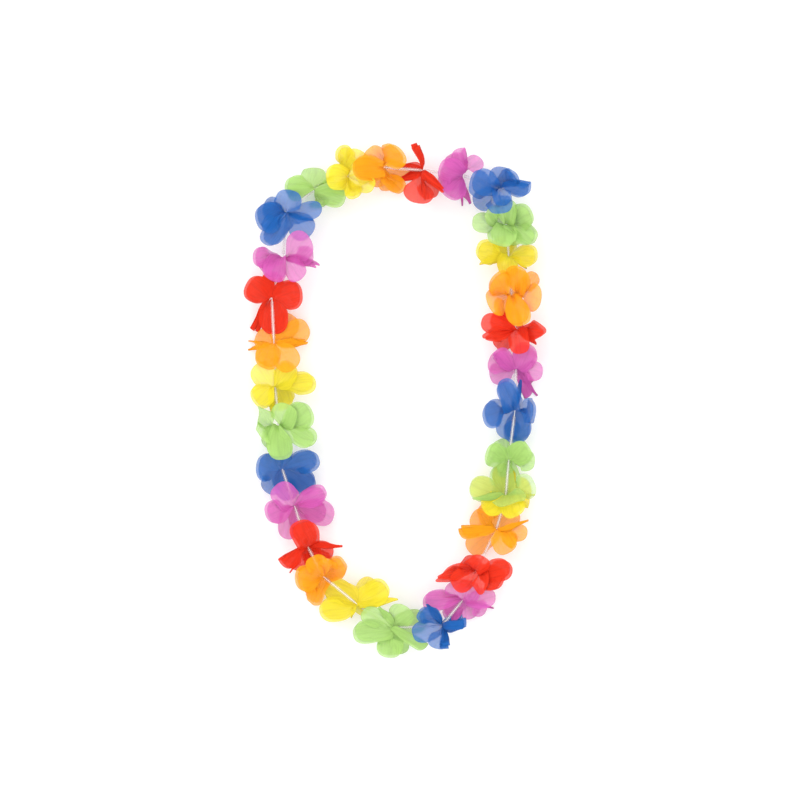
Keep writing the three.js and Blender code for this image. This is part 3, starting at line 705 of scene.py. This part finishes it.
class Lie:
    """How one ply lies: its middle line, its outline as seen and its folds."""

    # The middle line.
    CURL = (0.5, 2.5, 1.4)  # an over-petal's tip rises by the least, the most, and more a level
    SINK = (0.86, 1.0)  # what is left of a beneath-petal's height above the table at its tip
    DROOP = (0.35, 0.75)  # the same of an under-petal's
    SLACK = 0.4  # how much of the length that isn't seen goes into the petal's rise
    MOST_SLACK = 3 * MM
    LONG = 0.8  # a petal seen this share of its length or longer has no slack
    RISE = 1.5 * MM  # how far a petal stands out square to the thread before it turns outwards
    RISE_SHARE = 0.5  # and so much further, as a share of its height
    HANDLES = (0.14, 0.56)  # how far out the line's two handles are, as shares of the reach
    SETTLED = 1.04  # the outer one's height, as a share of the petal's

    # What is drawn for each petal, as the least and the most or as the most either way.
    TWIST = math.radians(9)
    ARCH = (-1.2 * MM, 2.4 * MM)  # how far its sides hang
    ARCHED_WIDTH = 20  # a petal this wide or wider arches in full
    RUFFLE = (0.39 * MM, 1.3 * MM)
    RUFFLE_TURNS = (0.8, 1.6)
    BOW = 0.9 * MM
    CRIMPS = (4, 6)

    # The surface. What has a growth is there in full at one part in so many of the length.
    ROOT_TURN = 0.15  # how far out the petal has turned level, as a share of its length
    ROOT_BLEND = 0.12  # how far out it has left the collar
    FOLD_GROWTH = 4
    ARCH_GROWTH = 1.4
    RUFFLE_GROWTH = 1.5
    CRIMP_GROWTH = 5
    CRIMP_FADE = 0.65  # how much of the crimps is gone at the tip
    RUFFLE_SLANT = 2.2  # radians that its wave runs ahead on the one side and behind on the other
    RUFFLE_EDGE = 2.2  # the power by which it grows towards the sides
    NARROWS = 0.45  # where a pointed petal's sides begin to draw together, as a share of its length
    FLAT = 0.74  # a petal seen this share of its width or wider isn't folded

    # Where two petals part, past the notch.
    WEB_FADE = 11 * MM
    WEB_GAP = 15 * MM  # two sides further apart than this are folded apart
    WEB_FALL = 0.25  # how much of the drop from one side to the other counts in that

    def __init__(self, ply, index, start_angle, end_angle, offset, cloth):
        draw = random.Random(ply.seed)
        self.cloth = cloth
        self.hub = hub_at(index)
        self.along = thread_direction(index)
        self.side = Vector((-self.along.y, self.along.x, 0))
        self.angles = (start_angle, end_angle)
        self.offset = offset
        tip = (Vector(ply.tip) - CENTRE) * MM
        outwards = Vector((tip.x - self.hub.x, tip.y - self.hub.y, 0))
        outwards.rotate(Matrix.Rotation(math.radians(ply.turn), 3, "Z"))
        reach = outwards.length - ply.short * MM
        self.out = outwards.normalized()
        self.outline = Outline(reach, ply.width * MM / 2)
        self.flat = Outline(cloth.reach, cloth.width / 2)

        middle = (start_angle + end_angle) / 2
        height = ply.height * MM
        if ply.part == "over":
            least, most, more = self.CURL
            curl = draw.uniform(least, most + more * BLOOMS[index].level) * MM
            end = height + curl * min(reach / cloth.reach, 1.0)
        else:
            floor = TABLE_GAP - self.hub.z
            keep = self.SINK if ply.part == "beneath" else self.DROOP
            end = max(floor, floor + (height - floor) * draw.uniform(*keep))
        root = self.ring(middle)
        slack = min(self.SLACK * max(self.LONG * cloth.reach - reach, 0), self.MOST_SLACK)
        if ply.part != "over":
            slack = -slack
        rise = self.spoke(middle) * (self.RISE_SHARE * abs(height) + abs(slack) + self.RISE)
        near, far = self.HANDLES
        self.line = (root, root + rise + self.out * (near * reach),
                     self.out * (far * reach) + UP * (height * self.SETTLED + slack),
                     self.out * reach + UP * end)
        level = self.out.cross(UP)
        tangent = self.ring_slope(middle)
        if level.dot(tangent) < 0:
            level = -level
        self.across = (tangent, level)
        self.twist = draw.uniform(-self.TWIST, self.TWIST)
        self.arch = draw.uniform(*self.ARCH) * min(1.0, ply.width / self.ARCHED_WIDTH)
        self.ruffle = draw.uniform(*self.RUFFLE)
        self.ruffle_turns = draw.uniform(*self.RUFFLE_TURNS)
        self.ruffle_phase = draw.uniform(0, 2 * math.pi)
        self.bow = draw.uniform(-self.BOW, self.BOW)
        self.crimp_phase = draw.uniform(0, 2 * math.pi)
        self.crimps = draw.randint(*self.CRIMPS)
        seen = ply.width * MM / (cloth.width * cloth.give)
        self.panel = seen if seen < self.FLAT else 1.0
        self.lead = draw.choice((-1, 1))
        self.narrowing = ply.narrowing

    def spoke(self, angle):
        """Out from the thread, square to it."""
        return self.side * math.cos(angle) + UP * math.sin(angle)

    def ring_slope(self, angle):
        """On round the thread, square to the spoke."""
        return UP * math.cos(angle) - self.side * math.sin(angle)

    def ring(self, angle):
        """A point of the collar, from the thread's middle."""
        return self.spoke(angle) * self.cloth.collar + self.along * self.offset

    def folded(self, share):
        """(share across what is seen, panels below the top one) of a petal folded lengthwise."""
        panels = (self.lead * share + 1) / 2 / self.panel
        whole = int(panels)
        part = panels - whole
        if whole % 2:
            part = 1 - part
        return self.lead * (2 * part - 1), panels

    def wave(self, half, share, flat_half):
        """The height of the waves that take up the width that isn't seen."""
        whole = flat_half * self.cloth.give * self.panel / 2
        seen = half / 2
        stand = math.sqrt(max(whole * whole - seen * seen, 0.0))
        stand = min(stand, self.cloth.fold_limit)
        return -stand / 2 * math.cos(2 * math.pi * (share + 1))

    def point(self, u, v):
        """(place from the hub, place in the flat cut) of the grid's point at u out and v across."""
        x, y, share = self.outline.place(u, v)
        t = x / self.outline.reach
        flat_x, flat_y, _ = self.flat.place(u, v)
        centre = bezier(self.line, t)
        ahead = bezier_slope(self.line, t).normalized()
        across = self.across[0].lerp(self.across[1], smooth(t / self.ROOT_TURN))
        across = (across - ahead * across.dot(ahead)).normalized()
        across.rotate(Matrix.Rotation(self.twist * smooth(t), 3, ahead))
        normal = across.cross(ahead)
        half = self.outline.half_at(u * self.outline.corner_x)
        flat_half = self.flat.half_at(u * self.flat.corner_x)
        crimp = math.cos(2 * math.pi * self.crimps * share + self.crimp_phase)
        share, panels = self.folded(share)
        height = self.wave(half, share, flat_half)
        if self.panel < 1:
            y = half * share
            height -= self.cloth.fold_gap * panels * smooth(t * self.FOLD_GROWTH)
        y *= 1 - self.narrowing * smooth((t - self.NARROWS) / (1 - self.NARROWS))
        height -= self.arch * share * share * smooth(t * self.ARCH_GROWTH)
        wave = math.sin(2 * math.pi * self.ruffle_turns * t + self.ruffle_phase
                        + self.RUFFLE_SLANT * share)
        wave *= abs(share) ** self.RUFFLE_EDGE * smooth(t * self.RUFFLE_GROWTH)
        height += self.ruffle * wave
        crimp *= (1 - self.CRIMP_FADE * t) * smooth(t * self.CRIMP_GROWTH)
        height += self.cloth.crimp / 2 * crimp
        bowed = y + self.bow * math.sin(math.pi * t)
        place = centre + across * bowed + normal * height
        start, end = self.angles
        rim = self.ring(start + (end - start) * (v + 1) / 2)
        return rim.lerp(place, smooth(t / self.ROOT_BLEND)), Vector((flat_y, flat_x)) / MM

    def join(self, before, after):
        """Keep the two petals that this one is joined to, inside the notches."""
        self.before = before
        self.after = after

    def web(self, u, own, other, other_side):
        """How far a side of the petal is drawn to its neighbour's, where the cloth isn't cut."""
        mine = self.point(u, own)[0]
        gap = other.point(u, other_side)[0] - mine
        beyond = u * self.flat.corner_x - self.cloth.notch
        apart = math.hypot(gap.x, gap.y) + self.WEB_FALL * abs(gap.z)
        hold = 1 - smooth(beyond / self.WEB_FADE)
        hold *= 1 - smooth(apart / self.WEB_GAP - 1)
        return gap / 2 * hold * min(self.panel, other.panel)

    def webs(self, u):
        """The same of both sides, this far out."""
        return self.web(u, -1, self.before, 1), self.web(u, 1, self.after, -1)


def spoke_angle(ply, index):
    """Where a petal leaves the thread: the angle round it, from one side over to the other."""
    along = thread_direction(index)
    side = Vector((-along.y, along.x, 0))
    tip = (Vector(ply.tip) - CENTRE) * MM
    out = Vector((tip.x, tip.y, 0)) - hub_at(index) * Vector((1, 1, 0))
    angle = math.acos(min(max(out.normalized().dot(side), -1), 1))
    return angle if ply.part == "over" else -angle


ROOT_GAP = math.radians(48)  # the least between two petals' roots, round the thread
SPREAD_ROUNDS = 60


def spread(angles):
    """Move sorted angles apart, little by little, until none on the ring are too close."""
    count = len(angles)
    for _ in range(SPREAD_ROUNDS):
        for k in range(count):
            after = (k + 1) % count
            turn = 2 * math.pi if after == 0 else 0.0
            short = ROOT_GAP - (angles[after] + turn - angles[k])
            if short > 0:
                angles[k] -= short / 2
                angles[after] += short / 2
    return angles


def cloth_piece(index, layer, plies, cloth, material):
    """One cloth of a bloom: five petals and the collar that joins them round the thread."""
    offset = CLOTH_OFFSETS[layer] * cloth.ply_gap
    plies = sorted(plies, key=lambda ply: spoke_angle(ply, index))
    middles = spread([spoke_angle(ply, index) for ply in plies])
    bounds = []
    for k, angle in enumerate(middles):
        after = middles[(k + 1) % PETALS] + (2 * math.pi if k == PETALS - 1 else 0)
        bounds.append((angle + after) / 2)
    mesh = bmesh.new()
    cut_map = mesh.loops.layers.uv.new("cut")
    petal_map = mesh.loops.layers.uv.new("petal")
    lies = []
    for k, ply in enumerate(plies):
        start = bounds[k - 1] - (2 * math.pi if k == 0 else 0)
        lies.append(Lie(ply, index, start, bounds[k], offset, cloth))
    for k, lie in enumerate(lies):
        lie.join(lies[k - 1], lies[(k + 1) % PETALS])
        add_petal(mesh, lie, cloth, cut_map, petal_map, turn=2 * math.pi * k / PETALS)
    bmesh.ops.remove_doubles(mesh, verts=mesh.verts, dist=SAME_PLACE)
    add_collar(mesh, index, offset, cloth)
    node = bloom_node(index)
    obj = finished(mesh, f"{node}_{layer}_cloth", material, [node])


def add_petal(mesh, lie, cloth, cut_map, petal_map, turn):
    """A grid laid in one petal's shape, with the flat cut's millimetres and its own shares kept."""
    made = bmesh.ops.create_grid(mesh, x_segments=cloth.columns, y_segments=cloth.rows, size=1.0)
    cut = {}
    shares = {}
    webs = {}
    spin = Matrix.Rotation(turn, 2)
    for vert in made["verts"]:
        v = vert.co.x
        u = (vert.co.y + 1) / 2
        row = round(u * cloth.rows)
        if row not in webs:
            webs[row] = lie.webs(u)
        place, flat = lie.point(u, v)
        before, after = webs[row]
        place += lie.hub + before * smooth(-v) + after * smooth(v)
        place.z = max(place.z, LOWEST)
        vert.co = place
        cut[vert] = spin @ flat
        shares[vert] = Vector(((v + 1) / 2, u))
    for face in {face for vert in made["verts"] for face in vert.link_faces}:
        for loop in face.loops:
            loop[cut_map].uv = cut[loop.vert]
            loop[petal_map].uv = shares[loop.vert]


def add_collar(mesh, index, offset, cloth):
    """The cloth between the petals' roots and the hole, drawn in round the thread."""
    middle = hub_at(index) + thread_direction(index) * offset
    rim = [edge for edge in mesh.edges if edge.is_boundary
           and all(abs((vert.co - middle).length - cloth.collar) < 2 * SAME_PLACE
                   for vert in edge.verts)]
    for item in bmesh.ops.extrude_edge_only(mesh, edges=rim)["geom"]:
        if isinstance(item, bmesh.types.BMVert):
            item.co = middle + (item.co - middle) * (cloth.eyelet / cloth.collar)


# ---------------------------------------------------------------- straws and thread

def straw_mesh(start, end, string, sides=20, rings=3, line_length=10 * MM):
    """A thin tube with both walls, open right through, and a map for the lines along it."""
    mesh = bmesh.new()
    bmesh.ops.create_cone(mesh, cap_ends=False, segments=sides, radius1=string.straw_radius,
                          radius2=string.straw_radius, depth=(end - start).length)
    lengthways = [edge for edge in mesh.edges if not edge.is_boundary]
    bmesh.ops.subdivide_edges(mesh, edges=lengthways, cuts=rings)
    bmesh.ops.solidify(mesh, geom=list(mesh.faces), thickness=string.straw_wall)
    wall = mesh.loops.layers.uv.new("wall")
    for face in mesh.faces:
        for loop in face.loops:
            around = math.atan2(loop.vert.co.y, loop.vert.co.x) / (2 * math.pi)
            loop[wall].uv = (abs(around) * 2, loop.vert.co.z / line_length)
    bmesh.ops.recalc_face_normals(mesh, faces=mesh.faces)
    turn = (end - start).to_track_quat("Z", "Y").to_matrix().to_4x4()
    bmesh.ops.transform(mesh, matrix=Matrix.Translation((start + end) / 2) @ turn,
                        verts=mesh.verts)
    return mesh


def thread_section(radius, strands=3, sides=12):
    """The strands side by side, as a lobed section's radii."""
    lobes = [math.cos(strands * 2 * math.pi * k / sides) for k in range(sides)]
    return [radius * (1 - STRAND_DEPTH + STRAND_DEPTH * lobe) for lobe in lobes]


def knot_place():
    return (hub_at(KNOT_AFTER - 1) + hub_at(KNOT_AFTER)) / 2


def along_points(points, step):
    """A run of straight stretches as evenly spaced points."""
    path = []
    for start, end in zip(points, points[1:]):
        count = max(1, round((end - start).length / step))
        path += [start.lerp(end, k / count) for k in range(count)]
    return path


def overhand(centre, along, radius, steps=54):
    """The middle line of a small trefoil knot lying on the thread."""
    other = UP.cross(along).normalized()
    points = []
    for k in range(steps):
        t = 2 * math.pi * k / steps
        x = (math.sin(t) + 2 * math.sin(2 * t)) / 3
        y = (math.cos(t) - 2 * math.cos(2 * t)) / 3
        z = -math.sin(3 * t) * KNOT_DEPTH
        points.append(centre + (along * x + other * y + UP * z) * radius * KNOT_SPREAD)
    return points


# ---------------------------------------------------------------- operators

class LEI_OT_stage(bpy.types.Operator):
    """Add the pale table, the soft lights and the camera that looks straight down"""

    bl_idname = "lei.stage"
    bl_label = "Stage"

    def execute(self, context):
        stage = context.scene.lei_stage
        mesh = bmesh.new()
        bmesh.ops.create_grid(mesh, x_segments=8, y_segments=8, size=stage.floor_side / 2)
        data = bpy.data.meshes.new("table")
        mesh.to_mesh(data)
        mesh.free()
        data.materials.append(floor_material(stage))
        floor = bpy.data.objects.new("table", data)
        context.scene.collection.objects.link(floor)

        world = bpy.data.worlds.new("soft_sky")
        context.scene.world = world
        world.use_nodes = True
        sky = world.node_tree.nodes["Background"]
        sky.inputs["Color"].default_value = plain(1.0)
        sky.inputs["Strength"].default_value = stage.sky

        lamp = bpy.data.lights.new("key", "AREA")
        lamp.shape = "SQUARE"
        lamp.size = KEY_SIDE
        lamp.energy = stage.key
        key = bpy.data.objects.new("key", lamp)
        key.location = KEY_PLACE
        key.rotation_euler = KEY_PLACE.to_track_quat("Z", "Y").to_euler()
        context.scene.collection.objects.link(key)

        camera = bpy.data.cameras.new("camera")
        camera.sensor_width = 36.0
        camera.lens = camera.sensor_width * stage.camera_height / stage.frame_side
        camera.clip_end = 100.0
        eye = bpy.data.objects.new("camera", camera)
        eye.location = (stage.frame_x, stage.frame_y, THREAD_HEIGHT + stage.camera_height)
        context.scene.collection.objects.link(eye)
        context.scene.camera = eye
        context.scene.view_settings.view_transform = "Standard"
        return {"FINISHED"}


class LEI_OT_thread(bpy.types.Operator):
    """Add the twisted thread, its knot and its two cut tails"""

    bl_idname = "lei.thread"
    bl_label = "Thread"

    def execute(self, context):
        string = context.scene.lei_string
        section = thread_section(string.thread_radius)
        step = string.thread_lay / TWIST_STEPS
        knot = knot_place()
        hubs = [hub_at(KNOT_AFTER + count) for count in range(len(BLOOMS))]
        path = along_points([knot, *hubs, knot], step)
        mesh = swept(path, section, self.twist(string), closed=True)
        along = (hub_at(KNOT_AFTER) - hub_at(KNOT_AFTER - 1)).normalized()
        self.add(mesh, swept(overhand(knot, along, string.knot_radius), section, closed=True))
        for sense in (1, -1):
            tail = along * sense
            tail.rotate(Matrix.Rotation(TAIL_SPREAD, 3, "Z"))
            path = along_points([knot, knot + tail * (TAIL_LENGTH * MM)], step)
            self.add(mesh, swept(path, section, self.twist(string)))
        material = thread_material(context.scene.lei_colours)
        finished(mesh, "lei_thread", material, ["cord"])
        return {"FINISHED"}

    def twist(self, string):
        """The turn of the thread's section, by the length gone."""
        return lambda length: 2 * math.pi * length / string.thread_lay

    def add(self, mesh, other):
        """Put another bmesh into this one."""
        data = bpy.data.meshes.new("part")
        other.to_mesh(data)
        other.free()
        mesh.from_mesh(data)
        bpy.data.meshes.remove(data)


class LEI_OT_straws(bpy.types.Operator):
    """Add a clear straw on the thread between every two blooms but the two beside the knot"""

    bl_idname = "lei.straws"
    bl_label = "Straws"

    def execute(self, context):
        string = context.scene.lei_string
        material = straw_material(context.scene.lei_colours, string)
        for index in range(len(BLOOMS)):
            if index + 1 == KNOT_AFTER:
                continue
            node = f"straw_{index + 1:02d}"
            start = hub_at(index)
            span = hub_at(index + 1) - start
            along = span.normalized()
            length = min(string.straw_length, span.length - 2 * string.straw_rest)
            middle = start + span / 2
            half = along * (length / 2)
            mesh = straw_mesh(middle - half, middle + half, string)
            finished(mesh, node + "_tube", material, [node])
        return {"FINISHED"}


class LEI_OT_blooms(bpy.types.Operator):
    """Add the blooms: two cloths of five petals each, gathered on the thread"""

    bl_idname = "lei.blooms"
    bl_label = "Blooms"

    def execute(self, context):
        cloth = context.scene.lei_cloth
        colours = context.scene.lei_colours
        dyed_and_shaded = {}
        for colour in ("blue", "purple", "red", "orange", "yellow", "green"):
            dyed_and_shaded[colour] = cloth_material("cloth_" + colour, getattr(colours, colour),
                                          getattr(colours, colour + "_cover"), cloth)
        slipped = cloth_material("cloth_slipped", getattr(colours, SLIPPED_COLOUR),
                                 colours.slipped_cover, cloth)
        for index, bloom in enumerate(BLOOMS):
            for layer, plies in zip(("front", "back"), bloom_layers(index)):
                cloth_piece(index, layer, plies, cloth, dyed_and_shaded[bloom.colour])
            if bloom.slipped:
                cloth_piece(index, "slipped", slipped_layer(index), cloth, slipped)
        return {"FINISHED"}


class LEI_PT_panel(bpy.types.Panel):
    """The lei's pieces, with the sizes and colours that shape them"""

    bl_idname = "LEI_PT_panel"
    bl_label = "Flower lei"
    bl_space_type = "VIEW_3D"
    bl_region_type = "UI"
    bl_category = "Lei"

    def draw(self, context):
        layout = self.layout
        for operator in OPERATORS:
            layout.operator(operator.bl_idname)
        for key, group in GROUPS.items():
            box = layout.box()
            box.label(text=group.__doc__)
            for name in group.__annotations__:
                box.prop(getattr(context.scene, key), name)


GROUPS = {
    "lei_cloth": LeiCloth,
    "lei_colours": LeiColours,
    "lei_string": LeiString,
    "lei_stage": LeiStage,
}
OPERATORS = (LEI_OT_stage, LEI_OT_thread, LEI_OT_straws, LEI_OT_blooms)


def register():
    for group in GROUPS.values():
        bpy.utils.register_class(group)
    for operator in OPERATORS:
        bpy.utils.register_class(operator)
    bpy.utils.register_class(LEI_PT_panel)
    for key, group in GROUPS.items():
        setattr(bpy.types.Scene, key, PointerProperty(type=group))


def unregister():
    for key in GROUPS:
        delattr(bpy.types.Scene, key)
    bpy.utils.unregister_class(LEI_PT_panel)
    for operator in reversed(OPERATORS):
        bpy.utils.unregister_class(operator)
    for group in reversed(GROUPS.values()):
        bpy.utils.unregister_class(group)


def main():
    register()
    bpy.ops.lei.stage()
    bpy.ops.lei.thread()
    bpy.ops.lei.straws()
    bpy.ops.lei.blooms()


if __name__ == "__main__":
    main()
